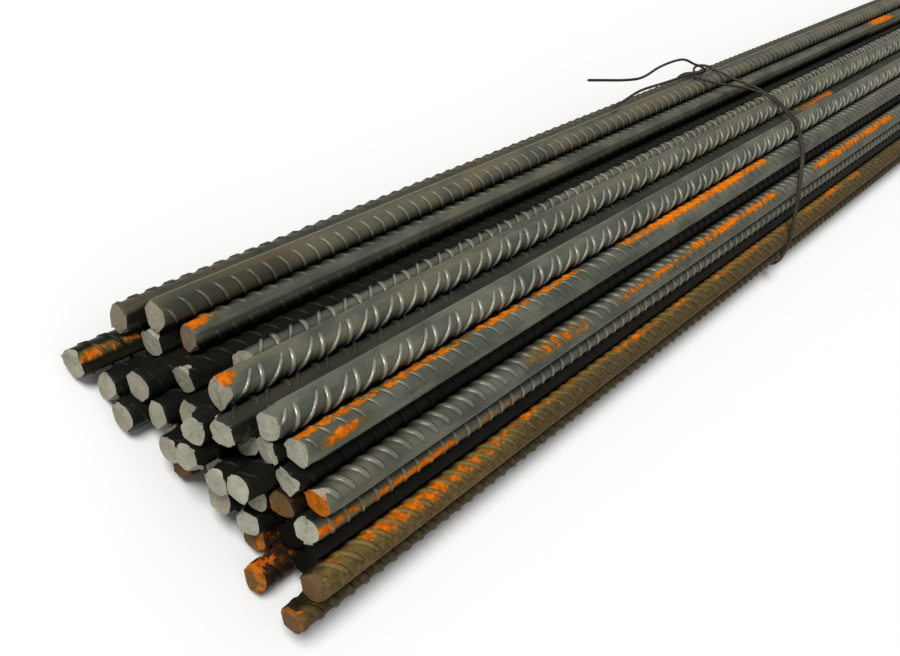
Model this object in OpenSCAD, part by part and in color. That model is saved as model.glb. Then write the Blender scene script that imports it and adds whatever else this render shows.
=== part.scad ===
// Bundle of ribbed reinforcing bars, tied twice with soft iron wire and lying on the floor.
// +X runs along the bars from the uneven ends, +Z is up, and the origin is on the floor under the middle.

/* [Bars] */
// Length of one bar
bar_length = 3000; // [1500:50:6000]
// Diameter of the round core, between the ribs
core_d = 11.4; // [8:0.1:16]
// Height of the two ribs that run along a bar
rib_h = 0.8; // [0.4:0.1:0.8]
// Width of the two ribs that run along a bar
rib_w = 2.2; // [1.2:0.1:3]

/* [Sheared ends] */
// Slope of the sheared face
shear_slope = 7; // [0:1:15]
// Slope of the flat that the shear's blade pressed into one side
bite_slope = 32; // [20:1:45]
// Depth of this flat at the end of the bar
bite_depth = 1.6; // [0.5:0.1:3]

/* [Heap] */
// Clear space between the cores of two bars that rest on each other
seat_gap = 0.9; // [0.85:0.05:0.95]
// Angle at which the outermost bars of the second row lean on the bottom row
lean_angle = 58; // [50:1:60]
// How many times the measured stagger the bars' ends are set out of line
stagger = 1; // [0:0.1:2]

/* [Wire ties] */
// Diameter of the wire
wire_d = 2; // [1.2:0.1:3]
// Clear space between the wire and the core of a bar, where the wire rides on the ribs
wire_seat = 1; // [0.9:0.05:1]
// Distance from the bundle's face to the middle of a tie
tie_inset = 465; // [300:5:700]
// Clear space between the two strands of a tie
strand_gap = 0.5; // [0.3:0.1:1]
// Length of the eye that the folded wire makes at the knot
eye_length = 34; // [30:1:38]
// How far the longer tail reaches along the bars
long_tail = 135; // [95:5:175]
// How far the shorter tail reaches along the bars
short_tail = 122; // [86:2:166]

/* [Hidden] */
$fn = 48;
core_r = core_d / 2;
wire_r = wire_d / 2;
// Distance between the axes of two bars that rest on each other
pitch = core_d + seat_gap;
// Height of the bottom row's axes, over the wire that passes under it
bed_z = wire_d + wire_seat + core_r;

// Spaces left between neighbours in the bottom row
bed_gaps = [0.5, 0, 0.8, 0.4, 0, 0.6, 0, 0.5, 0.3];
// How far each bar's end stands out of the bundle's face, row by row from the bottom
stand_out = [
    [25, 18, 19, 4, 9, -6, -6, -2, 7, -16],
    [6, -1, 14, 13, 16, 3, 9, 4, -8, -8, 9],
    [-1, -8, 3, 8, 18, 13, 2, -8, -8, 2],
    [-16, 17, 1, 14, 2, -1],
    [8, 15, 3, 3, -4],
    [5, 0]
];
// The way the long ribs of each bar face, always between two neighbours
facing = [
    [30, 90, 150, 30, 90, 150, 90, 30, 150, 90],
    [90, 30, 150, 90, 30, 150, 30, 90, 150, 30, 150],
    [150, 90, 30, 150, 90, 30, 150, 90, 30, 30],
    [30, 90, 150, 30, 90, 150],
    [150, 90, 30, 150, 30],
    [150, 30]
];

function sum_to(v, i) = i < 0 ? 0 : v[i] + sum_to(v, i - 1);
// The place of a bar that rests on two others, p on the left and q on the right
function valley(p, q) =
    let (d = q - p, h = sqrt(max(0, pitch * pitch - d * d / 4)))
    (p + q) / 2 + h * [-d[1], d[0]] / norm(d);
function valleys(row) = [for (i = [0 : len(row) - 2]) valley(row[i], row[i + 1])];
function some(row, first, count) = [for (i = [first : first + count - 1]) row[i]];
function lean(p, side) = p + pitch * [side * cos(lean_angle), sin(lean_angle)];

// Places of the bars across the bundle, as [to the right, up] seen from the uneven ends
bed = [for (i = [0 : len(bed_gaps)]) [i * pitch + sum_to(bed_gaps, i - 1), bed_z]];
row_2 = concat([lean(bed[0], -1)], valleys(bed), [lean(bed[len(bed) - 1], 1)]);
row_3 = valleys(row_2);
row_4 = some(valleys(row_3), 2, 6);
row_5 = valleys(row_4);
row_6 = some(valleys(row_5), 1, 2);
heap = concat(bed, row_2, row_3, row_4, row_5, row_6);
outs = [for (row = stand_out, v = row) v * stagger];
turns = [for (row = facing, v = row) v];
// Middle of the stagger, so that the bundle is centred along its length
mid_out = (max(outs) + min(outs)) / 2;
near_face = mid_out - bar_length / 2;
far_face = mid_out + bar_length / 2;

// The bars that the tie bends round, clockwise from the bar under the knot
function cross_of(a, b) = a[0] * b[1] - a[1] * b[0];
function further_out(p, best, q) =
    q == p ? best
    : best == undef ? q
    : let (c = cross_of(best - p, q - p))
      c > 0.001 || (abs(c) <= 0.001 && norm(q - p) > norm(best - p)) ? q : best;
function next_out(p, i = 0, best = undef) =
    i == len(heap) ? best : next_out(p, i + 1, further_out(p, best, heap[i]));
function ring_from(start, p, so_far = []) =
    let (q = next_out(p))
    norm(q - start) < 0.001 || len(so_far) > len(heap) ? concat(so_far, [p])
    : ring_from(start, q, concat(so_far, [p]));
knot_bar = row_3[0];
ring = ring_from(knot_bar, knot_bar);
ring_n = len(ring);

// The wire's axis bends round each of these bars at this radius
bend_r = core_r + wire_seat + wire_r;
right_u = max([for (p = ring) p[0]]);
left_u = min([for (p = ring) p[0]]);
// How far the tie slants along the bars over the top: [to the right of the knot's bar, along the bars]
slants = eye_length * [[1, 0.92], [1.7, 0.38], [2.05, 0.08], [2.9, -0.3], [3.5, -0.4]];
// The same on the right and under the knot, between which it crosses below
slant_right = -0.4 * eye_length;
slant_knot = 0.32 * eye_length;
// Room for the slant where the two strands run side by side
slant_room = 1.35;
strand_side = (wire_r + strand_gap / 2) * slant_room;

function way(i) = let (d = ring[(i + 1) % ring_n] - ring[i % ring_n]) atan2(d[1], d[0]) + 90;
function turn_at(i) = let (t = way(i + ring_n - 1) - way(i)) t - 360 * floor(t / 360);
function round_bar(i) =
    let (t = turn_at(i), n = max(1, ceil(t / 20)), a = way(i + ring_n - 1))
    [for (j = [0 : n]) ring[i] + bend_r * [cos(a - t * j / n), sin(a - t * j / n)]];
// Number of the ring's bar that stands furthest to the right
right_i = [for (i = [0 : ring_n - 1]) if (ring[i][0] >= right_u - 0.001) i][0];
function slant(i, u) =
    i < right_i ? lookup(u - knot_bar[0], slants)
    : lookup(u, [[left_u, slant_knot], [right_u, slant_right]]);
// One strand from the first bar past the knot all the way round to the bar before it
function strand(side) = [
    for (i = [1 : ring_n - 1], p = round_bar(i))
        [p[0], p[1], slant(i, p[0]) + side * strand_side]
];

// A point of the knot: the angle round the knot's bar, the place along it in lengths of the eye,
// and the height over the wire's bed in thicknesses of the wire
function at_knot(angle, along, lift) =
    let (p = knot_bar + (bend_r + lift * wire_d) * [cos(angle), sin(angle)])
    [p[0], p[1], along * eye_length];
// A point of the wire between the knot's bar and the next, in lengths of the eye
function on_top(d, along, side = 0) =
    let (p = knot_bar + d * eye_length * [sin(top_angle), -cos(top_angle)]
        + bend_r * [cos(top_angle), sin(top_angle)])
    [p[0], p[1], along * eye_length + side * strand_side];
// A point of a free tail: lengths of the eye from the knot's bar, and a distance along the bars
function off_knot(right, up, along) =
    [knot_bar[0] + right * eye_length, knot_bar[1] + up * eye_length, -along];
top_angle = way(0);
flank_angle = way(ring_n - 1);

// The eye that the folded wire makes over the knot's bar
eye = [
    on_top(1, 0.92, 1), on_top(0.73, 0.95), on_top(0.38, 0.78),
    at_knot(top_angle, 0.73, 0), at_knot(top_angle + 22, 0.7, 0), at_knot(150, 0.68, 1),
    at_knot(168, 0.49, 2.5), at_knot(168, 0.19, 2.5), at_knot(150, -0.08, 0.75),
    at_knot(top_angle + 20, -0.19, 0), at_knot(top_angle, -0.14, 0),
    on_top(0.24, 0.03), on_top(0.54, 0.43), on_top(0.78, 0.73), on_top(1, 0.92, -1)
];
// The two tails, from the flank through the eye, back over its near side and along the bars
tail_long = [
    at_knot(flank_angle, 0.4, 0), at_knot(flank_angle - 3, 0.35, 1.2), at_knot(151, 0.22, 2.5),
    at_knot(155, 0, 4), off_knot(-0.57, 0.24, 0.1 * long_tail), off_knot(-0.59, 0.22, 0.32 * long_tail),
    off_knot(-0.51, 0.22, 0.52 * long_tail), off_knot(-0.57, 0.24, 0.68 * long_tail),
    off_knot(-0.68, 0.27, 0.84 * long_tail), off_knot(-0.78, 0.32, long_tail)
];
tail_short = [
    at_knot(flank_angle, 0.24, 0), at_knot(flank_angle - 8, 0.22, 0.4), at_knot(flank_angle - 15, 0.08, 1.35),
    at_knot(130, -0.14, 1.5), at_knot(136, -0.54, 1.8), off_knot(-0.27, 0.22, 0.42 * short_tail),
    off_knot(-0.3, 0.22, 0.67 * short_tail), off_knot(-0.24, 0.22, 0.85 * short_tail),
    off_knot(-0.19, 0.24, short_tail)
];

// A smooth run through hand-placed points
function blend(a, b, c, d, t) =
    0.5 * ((2 * b) + (c - a) * t + (2 * a - 5 * b + 4 * c - d) * t * t + (3 * b - a - 3 * c + d) * t * t * t);
function smooth(v, n) = concat(
    [for (i = [0 : len(v) - 2], j = [0 : n - 1])
        blend(v[max(i - 1, 0)], v[i], v[i + 1], v[min(i + 2, len(v) - 1)], j / n)],
    [v[len(v) - 1]]
);
function flip(v) = [for (i = [len(v) - 1 : -1 : 0]) v[i]];
// The whole wire: one tail, round the bundle, the eye, round again, the other tail
wire_run = concat(
    flip(smooth(tail_long, 3)), flip(strand(1)), smooth(eye, 3), strand(-1), smooth(tail_short, 3)
);

// Half the width of the bundle on either side, wire and tails included
wire_u = [for (p = wire_run) p[0]];
mid_u = (max(wire_u) + min(wire_u)) / 2;

// A tube swept along a run of points
tube_sides = 8;
function unit(v) = v / norm(v);
function heading(v, i) = unit(v[min(i + 1, len(v) - 1)] - v[max(i - 1, 0)]);
function square_to(n, t) = unit(n - (n * t) * t);
function carried(v, i, n) =
    i == len(v) ? [] : let (m = square_to(n, heading(v, i))) concat([m], carried(v, i + 1, m));
module tube(v, r) {
    first = square_to(abs(heading(v, 0)[2]) < 0.9 ? [0, 0, 1] : [0, 1, 0], heading(v, 0));
    ns = carried(v, 0, first);
    k = tube_sides;
    m = len(v);
    points = [
        for (i = [0 : m - 1], j = [0 : k - 1])
            let (t = heading(v, i), a = 360 * (j + 0.5) / k)
            v[i] + r * (cos(a) * ns[i] + sin(a) * cross(t, ns[i]))
    ];
    sides = [
        for (i = [0 : m - 2], j = [0 : k - 1])
            let (a = i * k + j, b = i * k + (j + 1) % k)
            each [[a, a + k, b], [b, a + k, b + k]]
    ];
    polyhedron(
        points,
        concat([[for (j = [0 : k - 1]) j]], sides, [[for (j = [k - 1 : -1 : 0]) (m - 1) * k + j]])
    );
}

// Node names, the bars counted from the bottom row up and from left to right
function two(i) = i < 10 ? str("0", i) : str(i);
bar_names = [for (i = [1 : len(heap)]) str("bar_", two(i))];

// Section of a bar: the round core and its two long ribs
module bar_section() {
    circle(r = core_r);
    intersection() {
        circle(r = core_r + rib_h);
        square([2 * (core_r + rib_h) + 1, rib_w], center = true);
    }
}

// What the shear takes off the end at x = 0, for a bar that runs along +X
module shear_cut(side) {
    big = 4 * core_d;
    // The sheared face, which slopes across the long ribs
    translate([0, 0, side * core_r]) rotate([0, -side * shear_slope, 0])
        translate([-big, -big / 2, -big / 2]) cube([big, big, big]);
    // The flat that the blade pressed into the side that sticks out
    translate([0, 0, side * (core_r - bite_depth)]) rotate([0, side * (90 - bite_slope), 0])
        translate([-big, -big / 2, -big / 2]) cube([big, big, big]);
}

// One bar, from its uneven end to its far end
module bar(i) {
    side = i % 3 == 1 ? -1 : 1;
    color(i % 7 == 3 ? [0.36, 0.25, 0.16] : [0.29, 0.30, 0.27])
        translate([near_face - outs[i], mid_u - heap[i][0], heap[i][1]])
            rotate([-turns[i], 0, 0])
                difference() {
                    rotate([90, 0, 90]) linear_extrude(height = bar_length) bar_section();
                    shear_cut(side);
                    translate([bar_length, 0, 0]) mirror([1, 0, 0]) shear_cut(-side);
                }
}

// One tie, with its tails towards the near end or the far end
module tie(x, along) {
    color([0.17, 0.13, 0.10])
        tube([for (p = wire_run) [x + along * p[2], mid_u - p[0], p[1]]], wire_r);
}

module tie_near() tie(near_face + tie_inset, 1);
module tie_far() tie(far_face - tie_inset, -1);

for (i = [0 : len(heap) - 1])
    bar(i);
tie_near();
tie_far();
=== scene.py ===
# %% [markdown]
# A bundle of ribbed reinforcing bars lies on a pale floor, held by two ties of soft iron wire. The CAD model
# gives every bar its place, length and sheared ends. This lesson adds what a rolling mill and some weeks in
# the rain add to a bar: the slanted ribs, the grey scale, the worn crests, the torn ends and the rust.

# %% Load the fixed frame
import math

import bmesh
import bpy
import numpy as np
from mathutils import Matrix, Vector, noise


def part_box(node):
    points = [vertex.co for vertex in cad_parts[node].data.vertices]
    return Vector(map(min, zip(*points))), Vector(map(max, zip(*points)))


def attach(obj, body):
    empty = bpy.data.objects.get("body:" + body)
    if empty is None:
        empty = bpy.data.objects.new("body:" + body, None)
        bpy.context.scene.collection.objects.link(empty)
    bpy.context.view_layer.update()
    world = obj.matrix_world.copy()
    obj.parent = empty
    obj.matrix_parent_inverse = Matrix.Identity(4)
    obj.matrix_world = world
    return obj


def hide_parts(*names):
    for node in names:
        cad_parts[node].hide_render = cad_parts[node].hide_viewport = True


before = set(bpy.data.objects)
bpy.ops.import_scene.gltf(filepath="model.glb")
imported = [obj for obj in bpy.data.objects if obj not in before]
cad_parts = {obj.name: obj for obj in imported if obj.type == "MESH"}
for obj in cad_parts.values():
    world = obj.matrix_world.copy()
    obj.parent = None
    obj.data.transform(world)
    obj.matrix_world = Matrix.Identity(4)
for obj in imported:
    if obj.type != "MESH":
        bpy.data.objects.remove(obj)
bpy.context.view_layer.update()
bar_names = sorted(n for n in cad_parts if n.startswith("bar_"))


# %% [markdown]
# The camera comes first. The bars' straight edges meet in one vanishing point, which gives the direction of
# the view, and the tilt of the picture is a plain roll of the camera. The three axes below are the camera's
# own right, up and backward directions in the frame of the part.

# %% Camera at the photograph's angle
CAMERA_AT = (-1.7253, -0.0190, 0.3685)
CAMERA_RIGHT = (0.5913, -0.5218, 0.6147)
CAMERA_UP = (0.3408, 0.8526, 0.3959)
CAMERA_BACK = (-0.7308, -0.0246, 0.6823)

camera_data = bpy.data.cameras.new("photo_camera")
camera_data.sensor_fit = "HORIZONTAL"
camera_data.sensor_width = 36
camera_data.lens = 44
camera_data.clip_start = 0.01
camera = bpy.data.objects.new("photo_camera", camera_data)
bpy.context.scene.collection.objects.link(camera)
turned = Matrix((CAMERA_RIGHT, CAMERA_UP, CAMERA_BACK)).transposed()
camera.matrix_world = Matrix.LocRotScale(CAMERA_AT, turned.to_quaternion(), None)
bpy.context.scene.camera = camera
print("camera at", [round(x, 3) for x in camera.location])

# %% [markdown]
# Every bar is measured from its CAD solid. The section is the same after half a turn, so the middle of the
# solid's box is the bar's axis, and the vertices that stand furthest from the axis show where the two long
# ribs are. Only the lower rib is taken, because the two of them would cancel out.

# %% Measure the bars
CORE_R, RIB_H = 0.0057, 0.0008
FACE_X = -1.4955
LOWER_HALF = 0.0005


def measure_bar(number, name):
    low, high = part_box(name)
    middle = (low + high) / 2
    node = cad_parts[name].data
    spot = np.array([v.co for v in node.vertices], float)
    off = spot[:, 1:] - [middle.y, middle.z]
    far_out = off[(np.hypot(*off.T) > CORE_R + 0.8 * RIB_H) & (off[:, 1] < LOWER_HALF)]
    rib = far_out.mean(0)
    rib = rib / np.hypot(*rib)
    side = -1 if number % 3 == 1 else 1
    return {"name": name, "number": number, "near": low.x, "far": high.x, "y": middle.y, "z": middle.z,
            "rib": rib, "side": side}


bars = {name: measure_bar(i, name) for i, name in enumerate(bar_names)}
first = bars["bar_01"]
print("bar_01: axis", round(first["y"], 4), round(first["z"], 4), "long rib", first["rib"].round(3))

# %% [markdown]
# The finish of each bar is told in a few words: how brown its scale has become, which way its slanted ribs
# run, how worn its crests are, with a painted highlight, where rust has settled, and how much painted shade
# darkens it. A stroke of rust or of painted shade has a start and an end along the bar in millimetres from
# the face of the bundle, the angle from straight up, positive to the right, half its width in degrees, and
# its strength.

# %% Finishes and painted shade of the bars
# Painted shade: a level darkens each bar, and another its near end, where shadow falls inside the bundle.
PLAIN = {"brown": 0.3, "worn": 0.05, "soot": 0.96, "ribs": "even", "end_rust": 0.05, "end_brown": 0.0,
         "end_soot": 0.0, "lumpy": 0.0, "pressed": 1.0, "strokes": [], "shade": []}
FINISHES_AND_SHADE = {
    "bar_22": {"brown": 0.48, "worn": 0.45, "soot": 0.0,
               "shade": [(-30, 70, 15, 60, 0.55), (-30, 900, 95, 30, 0.8)]},
    "bar_23": {"brown": 0.3, "worn": 0.05, "soot": 0.1, "end_rust": 0.35, "end_brown": 0.6,
               "strokes": [(5, 20, -45, 34, 1.0), (808, 876, -25, 40, 0.8)],
               "shade": [(-10, 800, 68, 42, 1.0)]},
    "bar_32": {"brown": 0.1, "worn": 0.7, "soot": 0.0, "ribs": "paired", "shade": [(-20, 232, -85, 40, 1.0)]},
    "bar_38": {"brown": 0.35, "worn": 0.8, "soot": 0.0, "ribs": "paired",
               "strokes": [(-11, -3, -45, 46, 1.0)]},
    "bar_39": {"brown": 0.3, "worn": 0.1, "soot": 0.7, "ribs": "paired",
               "strokes": [(515, 600, -30, 35, 0.38)]},
    "bar_43": {"brown": 0.25, "worn": 0.95, "soot": 0.0, "ribs": "paired"},
    "bar_44": {"brown": 0.2, "worn": 0.2, "soot": 0.0, "strokes": [
        (-2, 101, -54, 25, 0.85), (108, 144, -54, 22, 0.9), (153, 194, -54, 22, 1.0),
        (230, 420, -44, 28, 1.0), (7, 31, 22, 26, 0.8)]},
    "bar_42": {"brown": 0.0, "worn": 0.35, "soot": 0.0, "ribs": "broad", "end_rust": 0.9,
               "pressed": 0.25, "strokes": [
        (132, 190, -4, 40, 0.55), (214, 236, -2, 20, 0.6), (232, 300, -4, 18, 0.74),
        (300, 427, -12, 24, 0.86), (491, 671, -12, 26, 0.9)]},
    "bar_37": {"brown": 0.35, "worn": 0.6, "soot": 0.0, "ribs": "ladder", "strokes": [
        (1, 34, 38, 22, 0.7), (32, 89, 52, 22, 1.0), (87, 137, 50, 16, 0.5)]},
    "bar_31": {"brown": 0.95, "worn": 0.12, "soot": 0.08, "ribs": "strong",
               "end_rust": 0.15, "end_brown": 1.0,
               "strokes": [(4, 135, -34, 44, 0.54), (135, 611, -50, 28, 0.54)],
               "shade": [(120, 1200, 10, 90, 0.3)]},
    "bar_21": {"brown": 0.95, "worn": 0.05, "soot": 0.55, "ribs": "wavy", "end_rust": 0.4, "end_brown": 1.0,
               "strokes": [(-16, 2, 30, 60, 0.36), (267, 782, -40, 40, 0.36)]},
    "bar_08": {"brown": 1.6, "worn": 0.0, "soot": 0.15, "end_rust": 0.42, "end_brown": 1.0,
               "lumpy": 0.0008, "strokes": [(-30, 60, 0, 180, 0.27)]},
    "bar_09": {"brown": 1.6, "worn": 0.0, "soot": 0.1, "end_rust": 0.42, "end_brown": 1.0,
               "lumpy": 0.0013, "strokes": [(-40, 60, 0, 180, 0.26)]},
    "bar_05": {"brown": 1.4, "worn": 0.0, "soot": 0.3, "end_rust": 0.25, "end_brown": 1.0,
               "lumpy": 0.0004, "strokes": [(-30, 40, 0, 180, 0.34)]},
    "bar_36": {"brown": 1.4, "soot": 0.6, "end_rust": 0.3, "end_brown": 1.0},
    "bar_11": {"brown": 0.5, "soot": 0.5, "end_brown": 0.6},
    "bar_01": {"brown": 0.5, "soot": 0.45, "strokes": [(-24, -14, 0, 22, 1.0)]},
}
# The near ends of the hidden bars get painted shade, nearly black.
HIDDEN_BARS = ["bar_06", "bar_07", "bar_10", "bar_19", "bar_20", "bar_29", "bar_30"]
FINISHES_AND_SHADE.update({name: {"end_soot": 0.95} for name in HIDDEN_BARS})
for name, bar in bars.items():
    bar.update(PLAIN)
    bar.update(FINISHES_AND_SHADE.get(name, {}))
SHOWN_BARS = ["bar_22", "bar_23", "bar_32", "bar_38", "bar_39", "bar_43", "bar_44", "bar_42", "bar_37",
              "bar_31", "bar_21"]
OUTER_BARS = SHOWN_BARS + ["bar_11", "bar_12", "bar_24", "bar_30", "bar_40", "bar_41"] + bar_names[:10]
print("finishes:", len(FINISHES_AND_SHADE), "told one by one")

# %% [markdown]
# The core of a bar starts as a circle. Its vertices are shared out so that a few of them make each long rib,
# then the loop is extruded from ring to ring along the bar. The rings are close together at the ends and
# where the bar shows, and further apart elsewhere.

# %% Section and rings of a bar
HALF_SECTION = [0, 9, 14, 25, 38, 51, 64, 77, 90, 103, 116, 129, 142, 155, 166, 171]
SECTION = [a + turn for turn in (0, 180) for a in HALF_SECTION]
RIB_HALF_ANGLE = 10
END_RINGS = [-0.004, 0.003, 0.005, 0.008, 0.012]
LUMPS_FROM, LUMPS_TO, LUMP_STEP = 0.014, 0.08, 0.002
SHOWN_FROM, PLAIN_FROM, PLAIN_SHORT = 0.02, 0.1, 0.03
FINE_STEP, COARSE_STEP, PLAIN_STEP, FINE_REACH = 0.010, 0.040, 0.15, 1.0


def ring_places(length, bar):
    near = END_RINGS[:]
    if bar["lumpy"]:
        near += list(np.arange(LUMPS_FROM, LUMPS_TO, LUMP_STEP))
    if bar["name"] in SHOWN_BARS:
        near += list(np.arange(SHOWN_FROM, FINE_REACH, FINE_STEP))
        near += list(np.arange(FINE_REACH, length - SHOWN_FROM, COARSE_STEP))
    else:
        near += list(np.arange(PLAIN_FROM, length - PLAIN_SHORT, PLAIN_STEP))
    return near + [length - x for x in reversed(END_RINGS)]


def rim_radius(degrees):
    off_rib = min(degrees % 180, 180 - degrees % 180)
    return CORE_R + (RIB_H if off_rib < RIB_HALF_ANGLE else 0)


shown_rings = len(ring_places(3.0, bars["bar_44"]))
print("section:", len(SECTION), "vertices,", shown_rings, "rings along a bar that shows")

# %% [markdown]
# A shear cut the bar to length: one plane takes the sloped face, a second one the flat that the blade pressed
# into the side. Near the end the section is pressed to a rough polygon, as a blunt shear leaves it, and the
# ribs are pressed low. Rust makes some ends lumpy, up to a limit that keeps lumps off the next bar's core.

# %% Sheared and pressed ends
SHEARED, BITTEN = 1, 2
PRESS_REACH = 0.014
LUMP_LIMIT = CORE_R + 0.00085
COARSE_LUMPS, FINE_LUMPS = 170, 420


def cut_away(bm, point, outward, mark):
    geometry = bm.verts[:] + bm.edges[:] + bm.faces[:]
    cut = bmesh.ops.bisect_plane(bm, geom=geometry, dist=1e-7, plane_co=point, plane_no=outward,
                                 clear_outer=True)
    edges = [e for e in cut["geom_cut"] if isinstance(e, bmesh.types.BMEdge)]
    for face in bmesh.ops.edgeloop_fill(bm, edges=edges)["faces"]:
        face.material_index = mark


def pressed_flats(rng, strength):
    first = rng.uniform(0, 2 * math.pi)
    turns = first + np.array([0, math.pi, 1.6, -1.6]) + rng.uniform(-0.35, 0.35, 4)
    depths = np.concatenate([rng.uniform(0.80, 0.92, 2), rng.uniform(0.86, 0.99, 2)])
    return list(zip(turns, 1 - (1 - depths) * strength))


def squeezed(spots, bar, length):
    from_end = np.minimum(spots[:, 0], length - spots[:, 0])
    near_end = np.clip(1 - from_end / PRESS_REACH, 0, 1)
    y, z = spots[:, 1], spots[:, 2]
    for turn, depth in bar["flats"]:
        reach = CORE_R * (depth + (1.25 - depth) * (1 - near_end))
        back = np.maximum(y * math.cos(turn) + z * math.sin(turn) - reach, 0)
        y, z = y - back * math.cos(turn), z - back * math.sin(turn)
    ribs_low = CORE_R * 1.04 + 0.002 * np.clip((from_end - 0.001) / 0.006, 0, 1)
    fit = np.minimum(1, ribs_low / np.hypot(y, z))
    y, z = y * fit, z * fit
    if bar["lumpy"]:
        coarse = np.array([noise.noise(Vector(p) * COARSE_LUMPS) for p in spots])
        fine = np.array([noise.noise(Vector(p) * FINE_LUMPS) for p in spots])
        lumps = coarse + 0.7 * fine
        grown = 1 + bar["lumpy"] / CORE_R * lumps * np.clip(1.5 - from_end / 0.05, 0, 1)
        grown = np.minimum(grown, np.maximum(1, LUMP_LIMIT / np.hypot(y, z)))
        y, z = y * grown, z * grown
    return np.stack([spots[:, 0], y, z], 1)


lumpy_bars = [name for name, bar in bars.items() if bar["lumpy"]]
print("ends: pressed over", PRESS_REACH, "m, lumpy on", lumpy_bars)

# %% [markdown]
# Tube and cuts together make the core, which is a little longer than the CAD solid at both ends. Its rim gets
# a small bevel, and each sheared face is inset a few times so that noise can roughen it.

# %% Core of a bar
END_EXTRA = 0.0002
BITE_SLOPE = math.radians(32)
RIM_BEVEL = 0.0003
INSETS = (0.0005, 0.0009, 0.0010, 0.0010)
FACE_ROUGH = 0.00012


def roughen(bm, face, seed):
    outward = face.normal.copy()
    inner = []
    for width in INSETS:
        bmesh.ops.inset_region(bm, faces=[face], thickness=width)
        inner += face.verts[:]
    inner += bmesh.ops.poke(bm, faces=[face])["verts"]
    for vert in inner:
        depth = noise.noise(vert.co * 420 + Vector((seed, 0, 0))) + 0.6 * noise.noise(vert.co * 1100)
        vert.co += outward * depth * FACE_ROUGH


def ringed_tube(bar, length):
    bm = bmesh.new()
    bmesh.ops.create_circle(bm, segments=len(SECTION), radius=CORE_R)
    bm.verts.ensure_lookup_table()
    for vert, degrees in zip(bm.verts, SECTION):
        r, a = rim_radius(degrees), math.radians(degrees)
        vert.co = (0, r * math.cos(a), r * math.sin(a))
    rings = ring_places(length, bar)
    loop = bm.edges[:]
    bmesh.ops.translate(bm, vec=(rings[0], 0, 0), verts=bm.verts[:])
    for before, here in zip(rings, rings[1:]):
        grown = bmesh.ops.extrude_edge_only(bm, edges=loop)["geom"]
        loop = [g for g in grown if isinstance(g, bmesh.types.BMEdge)]
        added = [g for g in grown if isinstance(g, bmesh.types.BMVert)]
        bmesh.ops.translate(bm, vec=(here - before, 0, 0), verts=added)
    return bm


def is_rim(edge):
    return len(edge.link_faces) == 2 and sum(f.material_index > 0 for f in edge.link_faces) == 1


def bar_core(bar):
    length = bar["far"] - bar["near"] + 2 * END_EXTRA
    bm = ringed_tube(bar, length)
    verts = bm.verts[:]
    for vert, place in zip(verts, squeezed(np.array([v.co for v in verts]), bar, length)):
        vert.co = place
    cuts = []
    for place, way, side in ((0, -1, bar["side"]), (length, 1, -bar["side"])):
        slope, tilt = math.radians(bar["slope"]), math.radians(bar["tilt"])
        outward = Vector((way * math.cos(slope), -math.sin(slope) * math.sin(tilt),
                          -side * math.sin(slope) * math.cos(tilt)))
        on_face = Vector((place, 0, side * CORE_R * 0.98))
        cut_away(bm, on_face, outward, SHEARED)
        bitten = Vector((way * math.sin(BITE_SLOPE), 0, side * math.cos(BITE_SLOPE)))
        at_bite = Vector((place, 0, side * (CORE_R - bar["bite"])))
        cut_away(bm, at_bite, bitten, BITTEN)
        cuts += [(on_face, outward, SHEARED), (at_bite, bitten, BITTEN)]
    bmesh.ops.recalc_face_normals(bm, faces=bm.faces[:])
    rim = [e for e in bm.edges if is_rim(e)]
    bmesh.ops.bevel(bm, geom=rim, offset=RIM_BEVEL, offset_type="OFFSET", segments=1, profile=0.5,
                    affect="EDGES", material=-1, clamp_overlap=True)
    for end in (0, length):
        cut_faces = [f for f in bm.faces if f.material_index]
        end_faces = [f for f in cut_faces if abs(f.calc_center_median().x - end) < 0.02]
        roughen(bm, max(end_faces, key=lambda f: f.calc_area()), bar["number"] * 3.7)
    return bm, cuts, length


print("sheared face:", len(INSETS), "insets, noise depth", FACE_ROUGH, "m")

# %% [markdown]
# A slanted rib is a crescent: it starts from nothing beside one long rib, swells to its full height and dies
# out beside the other. A small profile is spun round the bar's axis, and each step of the spin also moves it
# along the bar, which gives the slant. Then every vertex sinks towards the tips, where the profile closes to
# a point. One rib is made for each slant and used hundreds of times, so it has only a few dozen faces. A
# crest of no width makes a plain ridge with fewer faces still.

# %% One slanted rib
RIB_FROM, RIB_TO = 16, 164
RIB_SINK = 0.00025
SWELL = 0.55


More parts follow.
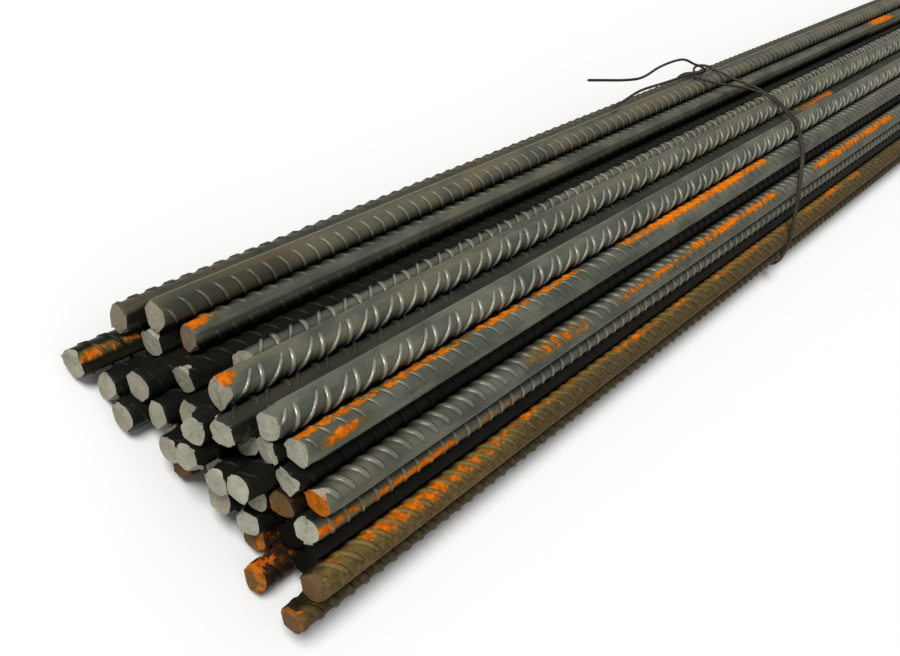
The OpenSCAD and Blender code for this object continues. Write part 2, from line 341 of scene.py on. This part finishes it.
def slanted_rib(slant, turn, steps, base, crest, height):
    bm = bmesh.new()
    inner, outer = CORE_R - RIB_SINK, CORE_R + height
    profile = [(inner, -base / 2), (outer, -crest / 2), (outer, crest / 2), (inner, base / 2)]
    start, sweep = math.radians(RIB_FROM), math.radians(RIB_TO - RIB_FROM)
    along = slant * CORE_R * sweep
    verts = [bm.verts.new((x - along / 2, r * math.cos(start), r * math.sin(start))) for r, x in profile]
    edges = [bm.edges.new((verts[i], verts[(i + 1) % 4])) for i in range(4)]
    bmesh.ops.spin(bm, geom=verts + edges, cent=(0, 0, 0), axis=(1, 0, 0), dvec=(along / steps, 0, 0),
                   angle=sweep, steps=steps, use_duplicate=False)
    for vert in bm.verts:
        a = math.atan2(vert.co.z, vert.co.y)
        t = min(1.0, max(0.0, (a - start) / sweep))
        swell = math.sin(math.pi * t) ** SWELL if 0.001 < t < 0.999 else 0.0
        r = math.hypot(vert.co.y, vert.co.z)
        centre = along * (t - 0.5)
        r = inner + (r - inner) * swell
        vert.co = (centre + (vert.co.x - centre) * swell ** SWELL, r * math.cos(a), r * math.sin(a))
    bmesh.ops.remove_doubles(bm, verts=bm.verts[:], dist=1e-6)
    bmesh.ops.recalc_face_normals(bm, faces=bm.faces[:])
    bmesh.ops.triangulate(bm, faces=bm.faces[:])
    turned_round = Matrix.Rotation(math.radians(turn), 3, "X")
    bmesh.ops.rotate(bm, cent=(0, 0, 0), matrix=turned_round, verts=bm.verts[:])
    bm.verts.index_update()
    spots = np.array([v.co for v in bm.verts])
    faces = np.array([[v.index for v in f.verts] for f in bm.faces])
    bm.free()
    return spots, faces


trial = slanted_rib(-1.0, 0, 8, 0.0026, 0.0009, RIB_H)
print("one rib:", len(trial[0]), "vertices,", len(trial[1]), "triangles")

# %% [markdown]
# The strokes become one number on each vertex. For rust it only says how much rust is likely there: the
# shader later breaks it up into flakes and spots. The shade is painted shade: strokes, a level for each bar,
# and more of it where the next bar is close and shadow falls between them.

# %% Rust and painted shade on the vertices
FADE_IN, FADE_OUT = 12, 16
SHADE_FROM, SHADE_FADE = 0.0048, 0.0036


def painted(bar, spots, strokes):
    s = (spots[:, 0] - FACE_X) * 1000
    angle = np.degrees(np.arctan2(-(spots[:, 1] - bar["y"]), spots[:, 2] - bar["z"]))
    value = np.zeros(len(spots))
    for start, end, centre, half, strength in strokes:
        turn = np.abs((angle - centre + 180) % 360 - 180) / half
        across = np.clip(1.5 - turn, 0, 1)
        along = np.clip((s - start) / FADE_IN + 0.5, 0, 1) * np.clip((end - s) / FADE_OUT + 0.5, 0, 1)
        value = np.maximum(value, strength * across * along)
    return value


# Painted shade: each bar's own level, the shade strokes, and more where the next bar is close and shadow
# falls.
def painted_shade_of(bar, spots):
    axes = np.array([(other["y"], other["z"]) for other in bars.values() if other is not bar])
    gap = np.full(len(spots), 1.0)
    for axis in axes:
        gap = np.minimum(gap, np.hypot(*(spots[:, 1:] - axis).T) - CORE_R)
    between_bars = np.clip((SHADE_FROM - gap) / SHADE_FADE, 0, 1)
    everywhere = np.full(len(spots), bar["soot"])
    return np.maximum.reduce([everywhere, 0.95 * between_bars, painted(bar, spots, bar["shade"])])


# A sample of the painted shade on top of bar_44 is printed.
top_of_44 = np.array([[FACE_X, bars["bar_44"]["y"], bars["bar_44"]["z"] + CORE_R]])
print("dirt on top of bar_44:", painted_shade_of(bars["bar_44"], top_of_44).round(2))

# %% [markdown]
# The ribs of a bar are joined arrays of the one rib. Ribs close to the camera have more steps than those far
# away or inside the bundle, which are plain ridges, so that all the bars together stay under a million
# triangles. A rib that runs over the sheared face is cut off with it.

# %% Ribs along a bar
SHOWN_STEPS, END_STEPS, OUTER_STEPS, INNER_STEPS = 9, 6, 5, 3
END_REACH = 0.08
CUT_MARGIN, CUT_DEPTH = 0.0002, 0.00005
PATTERNS = {
    "paired": {"pitch": 0.0079, "slants": (-1.0, -0.3), "base": 0.0034, "crest": 0.0014, "height": 0.0010},
    "even": {"pitch": 0.0086, "slants": (0.5, 0.5), "base": 0.0030, "crest": 0.0008, "height": 0.0009},
    "ladder": {"pitch": 0.0084, "slants": (0.3, 0.3), "base": 0.0028, "crest": 0.0008, "height": 0.0009},
    "broad": {"pitch": 0.0082, "slants": (0.5, 0.5), "base": 0.0056, "crest": 0.0014, "height": 0.0010},
    "strong": {"pitch": 0.0086, "slants": (0.7, 0.7), "base": 0.0050, "crest": 0.0012, "height": 0.0010},
    "wavy": {"pitch": 0.0086, "slants": (0.7, 0.7), "base": 0.0068, "crest": 0.0018, "height": 0.0010},
}
rib_store = {}


def stored_rib(*facts):
    if facts not in rib_store:
        rib_store[facts] = slanted_rib(*facts)
    return rib_store[facts]


def ribs_of(bar, length, rng):
    pattern = PATTERNS[bar["ribs"]]
    shown, outer = bar["name"] in SHOWN_BARS, bar["name"] in OUTER_BARS
    near_steps = SHOWN_STEPS if shown else END_STEPS
    far_steps = OUTER_STEPS if outer else INNER_STEPS
    spots, faces, owner, count, ribs = [], [], [], 0, 0
    for turn in (0, 180):
        phase = rng.uniform(0, 2 * pattern["pitch"])
        places = np.arange(phase - 0.01, length + 0.01, pattern["pitch"])
        for which, slant in enumerate(pattern["slants"]):
            mine = places[which::2]
            close = mine < (FINE_REACH if shown else END_REACH)
            groups = ((mine[close], near_steps, pattern["crest"]), (mine[~close], far_steps, 0.0))
            for group, steps, crest in groups:
                if not len(group):
                    continue
                rib, tris = stored_rib(slant, turn, steps, pattern["base"], crest, pattern["height"])
                many = np.tile(rib, (len(group), 1))
                many[:, 0] += np.repeat(group, len(rib))
                spots.append(many)
                shift = (np.arange(len(group)) * len(rib))[:, None, None]
                faces.append((tris[None] + shift).reshape(-1, 3) + count)
                owner.append(np.repeat(np.arange(len(group)), len(tris)) + ribs)
                count, ribs = count + len(many), ribs + len(group)
    return np.concatenate(spots), np.concatenate(faces), np.concatenate(owner)


def trimmed(spots, tris, owner, cuts):
    over = np.max([(spots - np.array(p)) @ np.array(n) for p, n, _ in cuts], 0) > -CUT_MARGIN
    hit = np.isin(owner, np.unique(owner[over[tris].any(1)]))
    bm = bmesh.new()
    corners = {i: bm.verts.new(spots[i]) for i in np.unique(tris[hit])}
    for tri in tris[hit]:
        bm.faces.new([corners[i] for i in tri])
    for point, outward, mark in cuts:
        cut_away(bm, point - CUT_DEPTH * outward, outward, mark)
    bmesh.ops.triangulate(bm, faces=bm.faces[:])
    bm.verts.index_update()
    used, whole = np.unique(tris[~hit], return_inverse=True)
    rest = np.array([[v.index for v in f.verts] for f in bm.faces], int).reshape(-1, 3)
    ends = np.array([f.material_index for f in bm.faces], float)
    spots = np.concatenate([spots[used], np.array([v.co for v in bm.verts]).reshape(-1, 3)])
    bm.free()
    tris = np.concatenate([whole.reshape(-1, 3), rest + len(used)])
    return spots, tris, np.concatenate([np.zeros(len(tris) - len(ends)), ends])


print("rib patterns and pitches:", {word: pattern["pitch"] for word, pattern in PATTERNS.items()})

# %% [markdown]
# Each bar becomes one mesh of its core and its ribs, turned and moved to the bar's place. Attributes go with
# the mesh: the place on the bar, the height on a rib, the rust, the painted shade and the cut faces. What is
# told of an end holds for the near end, and the far end is plain.

# %% Bars
FIRST_SEED = 100
CORE_CREST = 0.35


def add_values(mesh, name, kind, domain, values):
    layer = mesh.attributes.new(name, kind, domain)
    field = "vector" if kind == "FLOAT_VECTOR" else "value"
    layer.data.foreach_set(field, np.asarray(values, np.float32).ravel())


def make_bar(bar):
    rng = np.random.default_rng(FIRST_SEED + bar["number"])
    bar.update(flats=pressed_flats(rng, bar["pressed"]), slope=rng.uniform(3, 11), tilt=rng.uniform(-35, 35),
               bite=rng.uniform(0.0009, 0.0019), end_brown=max(bar["end_brown"], rng.uniform(0, 0.3)))
    bm, cuts, length = bar_core(bar)
    bm.verts.index_update()
    core = np.array([v.co for v in bm.verts])
    corners = [[v.index for v in f.verts] for f in bm.faces]
    cut = np.array([f.material_index for f in bm.faces], float)
    bm.free()
    ribs, tris, owner = ribs_of(bar, length, rng)
    ribs, tris, rib_cut = trimmed(squeezed(ribs, bar, length), tris, owner, cuts)
    own = np.concatenate([core, ribs])
    dy, dz = bar["rib"]
    world = np.stack([own[:, 0] + bar["near"] - END_EXTRA, bar["y"] + own[:, 1] * dy - own[:, 2] * dz,
                      bar["z"] + own[:, 1] * dz + own[:, 2] * dy], 1)
    mesh = bpy.data.meshes.new(bar["name"] + "_rolled")
    loops = np.concatenate([np.concatenate(corners), (tris + len(core)).ravel()])
    sizes = np.concatenate([[len(c) for c in corners], np.full(len(tris), 3)])
    mesh.vertices.add(len(world))
    mesh.vertices.foreach_set("co", world.astype(np.float32).ravel())
    mesh.loops.add(len(loops))
    mesh.loops.foreach_set("vertex_index", loops.astype(np.int32))
    mesh.polygons.add(len(sizes))
    mesh.polygons.foreach_set("loop_start", (np.cumsum(sizes) - sizes).astype(np.int32))
    faces_cut = np.concatenate([cut, rib_cut])
    mesh.update(calc_edges=True)
    mesh.polygons.foreach_set("use_smooth", faces_cut == 0)
    radius = np.hypot(own[:, 1], own[:, 2])
    add_values(mesh, "on_bar", "FLOAT_VECTOR", "POINT", own + [0, bar["number"] * 0.37, bar["number"] * 0.11])
    height = np.clip((radius - CORE_R) / RIB_H, 0, 1)
    height[: len(core)] *= CORE_CREST
    add_values(mesh, "crest", "FLOAT", "POINT", height)
    add_values(mesh, "rust", "FLOAT", "POINT", painted(bar, world, bar["strokes"]))
    # Painted shade goes on the vertices as an attribute of its own.
    add_values(mesh, "soot", "FLOAT", "POINT", painted_shade_of(bar, world))
    # The wear level also paints a highlight on the rib crests.
    for word in ("brown", "worn"):
        add_values(mesh, word, "FLOAT", "POINT", np.full(len(own), bar[word]))
    # The near end carries its rust, its brown and its painted shade.
    for word in ("end_rust", "end_brown", "end_soot"):
        add_values(mesh, word, "FLOAT", "POINT", np.where(world[:, 0] < 0, bar[word], PLAIN[word] + 0.1))
    add_values(mesh, "cut", "FLOAT", "FACE", faces_cut)
    piece = bpy.data.objects.new(bar["name"] + "_rolled", mesh)
    bpy.context.scene.collection.objects.link(piece)
    return piece


bar_pieces = {name: make_bar(bar) for name, bar in bars.items()}
counts = [sum(len(p.vertices) - 2 for p in piece.data.polygons) for piece in bar_pieces.values()]
print("bars:", len(bar_pieces), "triangles in all", sum(counts), "most", max(counts))

# %% [markdown]
# Materials are written as sums and products. A small class wraps one socket: arithmetic on it adds Math
# nodes, and one method adds any other node with its settings and its inputs.

# %% Shader arithmetic


class Flow:
    def __init__(self, tree, socket=None):
        self.tree, self.socket = tree, socket

    def node(self, kind, inputs=(), out=0, stops=None, **settings):
        made = self.tree.nodes.new("ShaderNode" + kind)
        for key, value in settings.items():
            setattr(made, key, value)
        for i, (place, colour) in enumerate(stops or ()):
            ramp = made.color_ramp.elements
            stop = ramp[i] if i < 2 else ramp.new(place)
            stop.position, stop.color = place, (*colour, 1)
        for key, value in dict(inputs).items():
            if isinstance(value, Flow):
                self.tree.links.new(value.socket, made.inputs[key])
            else:
                made.inputs[key].default_value = value
        return Flow(self.tree, made.outputs[out])

    def maths(self, operation, *values):
        return self.node("Math", enumerate(values), operation=operation)

    def __add__(self, other):
        return self.maths("ADD", self, other)

    def __sub__(self, other):
        return self.maths("SUBTRACT", self, other)

    def __rsub__(self, other):
        return self.maths("SUBTRACT", other, self)

    def __mul__(self, other):
        return self.maths("MULTIPLY", self, other)

    __radd__, __rmul__ = __add__, __mul__

    def between(self, low, high):
        return self.node("MapRange", {0: self, 1: low, 2: high}, interpolation_type="SMOOTHSTEP")

    def mix(self, first, second):
        first, second = [(*c, 1) if isinstance(c, tuple) else c for c in (first, second)]
        return self.node("Mix", {0: self, 6: first, 7: second}, out=2, data_type="RGBA")


def new_material(name):
    material = bpy.data.materials.new(name)
    material.use_nodes = True
    tree = material.node_tree
    shader = next(n for n in tree.nodes if n.type == "BSDF_PRINCIPLED")
    return material, Flow(tree), shader


def feed(flow, shader, **sockets):
    for name, value in sockets.items():
        flow.tree.links.new(value.socket, shader.inputs[name.replace("_", " ")])


print("a flow can:", [word for word in vars(Flow) if not word.startswith("_")])

# %% [markdown]
# Hot-rolled steel comes from the mill in a skin of grey scale. Handling wears the crests of the ribs bright,
# and part of that brightness is a painted highlight. Rain turns the scale brown and then orange where water
# stands, the sheared ends stay pale, and painted shade darkens the bars where shadow falls between them. All
# of it is one material, because it is one surface: masks made of noise and of the mesh's attributes choose
# between the colours. The attributes and the noises come first.

# %% Rolled steel, attributes and noises
# Near black, for painted shade.
SHADE_BLACK = (0.004, 0.004, 0.003)
steel, f, shader = new_material("rolled_steel")
on_bar = f.node("Attribute", out="Vector", attribute_name="on_bar")
crest = f.node("Attribute", out="Fac", attribute_name="crest")
rust = f.node("Attribute", out="Fac", attribute_name="rust")
brown = f.node("Attribute", out="Fac", attribute_name="brown")
# The wear level also paints a highlight on the crests.
wear_and_highlight_level = f.node("Attribute", out="Fac", attribute_name="worn")
# Painted shade, read from the vertices.
soot = f.node("Attribute", out="Fac", attribute_name="soot")
cut_kind = f.node("Attribute", out="Fac", attribute_name="cut")
cut, bitten = cut_kind.between(0.2, 0.8), cut_kind.between(1.2, 1.8)
end_rust = f.node("Attribute", out="Fac", attribute_name="end_rust")
end_brown = f.node("Attribute", out="Fac", attribute_name="end_brown")
end_soot = f.node("Attribute", out="Fac", attribute_name="end_soot")

grain = f.node("TexNoise", {"Vector": on_bar, "Scale": 1400, "Detail": 3, "Roughness": 0.6})
spots = f.node("TexNoise", {"Vector": on_bar, "Scale": 420, "Detail": 4, "Roughness": 0.62})
stretched = f.node("Mapping", {"Vector": on_bar, "Scale": (0.35, 1, 1)}, vector_type="POINT")
clouds = f.node("TexNoise", {"Vector": stretched, "Scale": 95, "Detail": 4, "Roughness": 0.6})
broad = f.node("TexNoise", {"Vector": stretched, "Scale": 18, "Detail": 2, "Roughness": 0.5})
print("attributes and noises:", len(steel.node_tree.nodes), "nodes")

# %% [markdown]
# The scale is a cloudy grey. Old scale goes brown, and on the rustiest bars russet. Painted shade darkens it
# where shadow falls between the bars, and the crests of the ribs are rubbed pale, partly as a painted
# highlight, where little painted shade covers them.

# %% Rolled steel, scale, wear, painted shade and painted highlight
scale_colour = clouds.between(0.35, 0.68).mix((0.085, 0.092, 0.072), (0.170, 0.174, 0.130))
scale_colour = (broad.between(0.4, 0.7) * 0.5).mix(scale_colour, (0.150, 0.135, 0.095))
brown_mask = (brown + (clouds - 0.5) * 1.2 + (spots - 0.5) * 0.5).between(0.3, 0.95)
brown_colour = spots.between(0.3, 0.7).mix((0.076, 0.049, 0.017), (0.165, 0.110, 0.037))
russet_colour = spots.between(0.3, 0.7).mix((0.060, 0.024, 0.008), (0.150, 0.060, 0.014))
russet = brown.between(1.1, 1.5)
scale_colour = brown_mask.mix(scale_colour, russet.mix(brown_colour, russet_colour))
# Painted shade darkens the scale nearly to black where shadow falls inside the bundle.
scale_colour = (soot * 0.98).mix(scale_colour, SHADE_BLACK)
# The rubbed crests are pale from wear, and partly a painted highlight.
worn = crest.between(0.45, 0.95) * (0.35 + 0.65 * spots.between(0.3, 0.6)) * wear_and_highlight_level * (1 - 0.8 * soot)
scale_colour = (worn * 0.85).mix(scale_colour, (0.48, 0.47, 0.39))
print("with scale and wear:", len(steel.node_tree.nodes), "nodes")

# %% [markdown]
# Rust starts from the painted strokes, and noise breaks it up. It keeps off the crests, so it lies between
# the ribs, with a brown stain round it.

# %% Rolled steel, rust
rust_mask = (rust + (clouds - 0.5) * 2.0 + (spots - 0.5) * 1.2 - 0.36 * crest).between(0.46, 0.60)
rust_mask = rust_mask * rust.between(0.02, 0.2)
rust_colour = f.node("ValToRGB", {0: spots * 0.55 + clouds * 0.25 + rust * 0.22}, stops=[
    (0.36, (0.11, 0.024, 0.003)), (0.62, (0.66, 0.160, 0.005)),
    (0.50, (0.38, 0.080, 0.004)), (0.78, (0.82, 0.27, 0.008))])
stain = (rust * 1.2 + (clouds - 0.5) * 0.8).between(0.2, 0.7)
stain_colour = russet.mix((0.185, 0.125, 0.028), russet_colour)
scale_colour = (stain * 0.7).mix(scale_colour, stain_colour)
skin = rust_mask.mix(scale_colour, rust_colour)
print("with rust:", len(steel.node_tree.nodes), "nodes")

# %% [markdown]
# A sheared face is pale steel with darker spots. Some are brown, some carry fresh rust, which keeps off the
# flat of the blade, and the ends that stay out of sight get painted shade, nearly black.

# %% Rolled steel, sheared faces
face_colour = clouds.between(0.3, 0.7).mix((0.25, 0.245, 0.19), (0.36, 0.35, 0.28))
face_colour = (spots.between(0.52, 0.72) * 0.6).mix(face_colour, (0.15, 0.135, 0.10))
face_colour = (end_brown * (0.75 + 0.35 * clouds)).mix(face_colour, (0.092, 0.044, 0.008))
face_rust = (end_rust * 1.1 + (clouds - 0.5) * 0.9 + (spots - 0.5) * 0.4 - 0.5 * bitten).between(0.42, 0.66)
fresh_rust = spots.between(0.3, 0.6).mix((0.26, 0.072, 0.005), (0.46, 0.130, 0.008))
# Ends out of sight are painted nearly black as shade.
face_colour = (end_soot * 1.05).mix(face_rust.mix(face_colour, fresh_rust), SHADE_BLACK)
colour = cut.mix(skin, face_colour)
print("with sheared faces:", len(steel.node_tree.nodes), "nodes")

# %% [markdown]
# Rust is dull, rough and no metal to the eye. Scale is smoother, and the rubbed crests shine a little.

# %% Rolled steel, shine and relief
all_rust = rust_mask * (1 - cut) + face_rust * cut
roughness = 0.36 + 0.16 * spots + 0.12 * brown_mask - 0.08 * worn
roughness = roughness + all_rust * (0.9 - roughness) + cut * (1 - all_rust) * 0.12
metal = (1 - all_rust) * (0.35 - 0.25 * brown_mask + 0.35 * worn) * (1 - 0.7 * cut)
relief = spots * 0.35 + grain * 0.3 + all_rust * (grain * 1.2 + spots * 0.6) + cut * clouds * 0.8
bump = f.node("Bump", {"Strength": 0.55, "Distance": 0.00025, "Height": relief})
feed(f, shader, Base_Color=colour, Roughness=roughness, Metallic=metal, Normal=bump)
shader.inputs["Specular IOR Level"].default_value = 0.06
print("rolled steel:", len(steel.node_tree.nodes), "nodes")

# %% [markdown]
# Every bar takes the steel, rides on the one body and stands for its CAD node.

# %% Steel onto the bars
RUSTY = {"bar_05", "bar_08", "bar_09", "bar_21", "bar_31"}
for name, piece in bar_pieces.items():
    piece.data.materials.append(steel)
    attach(piece, "root")
    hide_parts(name)
    "rusty_bar" if name in RUSTY else "bar"
print("bars dressed:", len(bar_pieces))

# %% [markdown]
# The ties are soft iron wire, folded double round the bundle, with both tails passed through the eye of the
# fold. The CAD solid already follows the whole route with eight sides. A copy of it is merged, its triangles
# are joined to quads, it is drawn in from the CAD model's 2 mm to the 1.6 mm that the photograph shows beside
# the bars, and a subdivision makes it round.

# %% Wire ties
WIRE_R, SHOWN_WIRE_R = 0.001, 0.0008
SMOOTHING = 0.902


def round_tie(name):
    bm = bmesh.new()
    bm.from_mesh(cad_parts[name].data)
    bmesh.ops.remove_doubles(bm, verts=bm.verts[:], dist=1e-6)
    bmesh.ops.join_triangles(bm, faces=bm.faces[:], angle_face_threshold=0.9, angle_shape_threshold=3.1)
    bmesh.ops.recalc_face_normals(bm, faces=bm.faces[:])
    bm.normal_update()
    for vert in bm.verts:
        vert.co += vert.normal * (SHOWN_WIRE_R / SMOOTHING - WIRE_R)
    mesh = bpy.data.meshes.new(name + "_wire")
    bm.to_mesh(mesh)
    bm.free()
    mesh.polygons.foreach_set("use_smooth", [True] * len(mesh.polygons))
    piece = bpy.data.objects.new(name + "_wire", mesh)
    bpy.context.scene.collection.objects.link(piece)
    smooth = piece.modifiers.new("round", "SUBSURF")
    smooth.levels = smooth.render_levels = 1
    return piece


wire, f, shader = new_material("annealed_wire")
place = f.node("TexCoord", out="Object")
flakes = f.node("TexNoise", {"Vector": place, "Scale": 700, "Detail": 4, "Roughness": 0.6})
patches = f.node("TexNoise", {"Vector": place, "Scale": 60, "Detail": 3})
dark = flakes.between(0.35, 0.65).mix((0.016, 0.013, 0.009), (0.040, 0.031, 0.021))
colour = (patches.between(0.5, 0.75) * flakes.between(0.4, 0.7)).mix(dark, (0.16, 0.075, 0.025))
feed(f, shader, Base_Color=colour, Roughness=0.5 + 0.3 * flakes,
     Normal=f.node("Bump", {"Strength": 0.4, "Distance": 0.0002, "Height": flakes}))
shader.inputs["Metallic"].default_value = 0.2
for name in ("tie_near", "tie_far"):
    piece = round_tie(name)
    piece.data.materials.append(wire)
    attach(piece, "root")
    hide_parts(name)
    print(name, len(piece.data.polygons), "faces before smoothing")

# %% [markdown]
# The stage is a plain pale floor. One wide soft light comes from above the near ends, as from a large window,
# and an even white sky keeps the shadows open.

# %% Floor and light
FLOOR_HALF = 12
SUN_FROM = (-0.50, 0.30, 0.80)
SUN_STRENGTH, SKY_STRENGTH = 3.2, 0.32

bm = bmesh.new()
bmesh.ops.create_grid(bm, x_segments=1, y_segments=1, size=FLOOR_HALF)
floor_mesh = bpy.data.meshes.new("floor")
bm.to_mesh(floor_mesh)
bm.free()
floor = bpy.data.objects.new("floor", floor_mesh)
bpy.context.scene.collection.objects.link(floor)
paint, _, shader = new_material("pale_floor")
shader.inputs["Base Color"].default_value = (0.90, 0.90, 0.89, 1)
shader.inputs["Roughness"].default_value = 0.8
floor_mesh.materials.append(paint)

sun_data = bpy.data.lights.new("window_light", "SUN")
sun_data.energy, sun_data.angle = SUN_STRENGTH, math.radians(20)
sun = bpy.data.objects.new("window_light", sun_data)
sun.rotation_euler = Vector(SUN_FROM).to_track_quat("Z", "Y").to_euler()
bpy.context.scene.collection.objects.link(sun)
sky = bpy.data.worlds.new("white_sky")
bpy.context.scene.world = sky
sky.use_nodes = True
sky_light = sky.node_tree.nodes["Background"]
sky_light.inputs["Color"].default_value = (1, 1, 1, 1)
sky_light.inputs["Strength"].default_value = SKY_STRENGTH
bpy.context.scene.view_settings.view_transform = "Standard"
print("light:", sun.name, SUN_STRENGTH, "and sky", SKY_STRENGTH)

# %% [markdown]
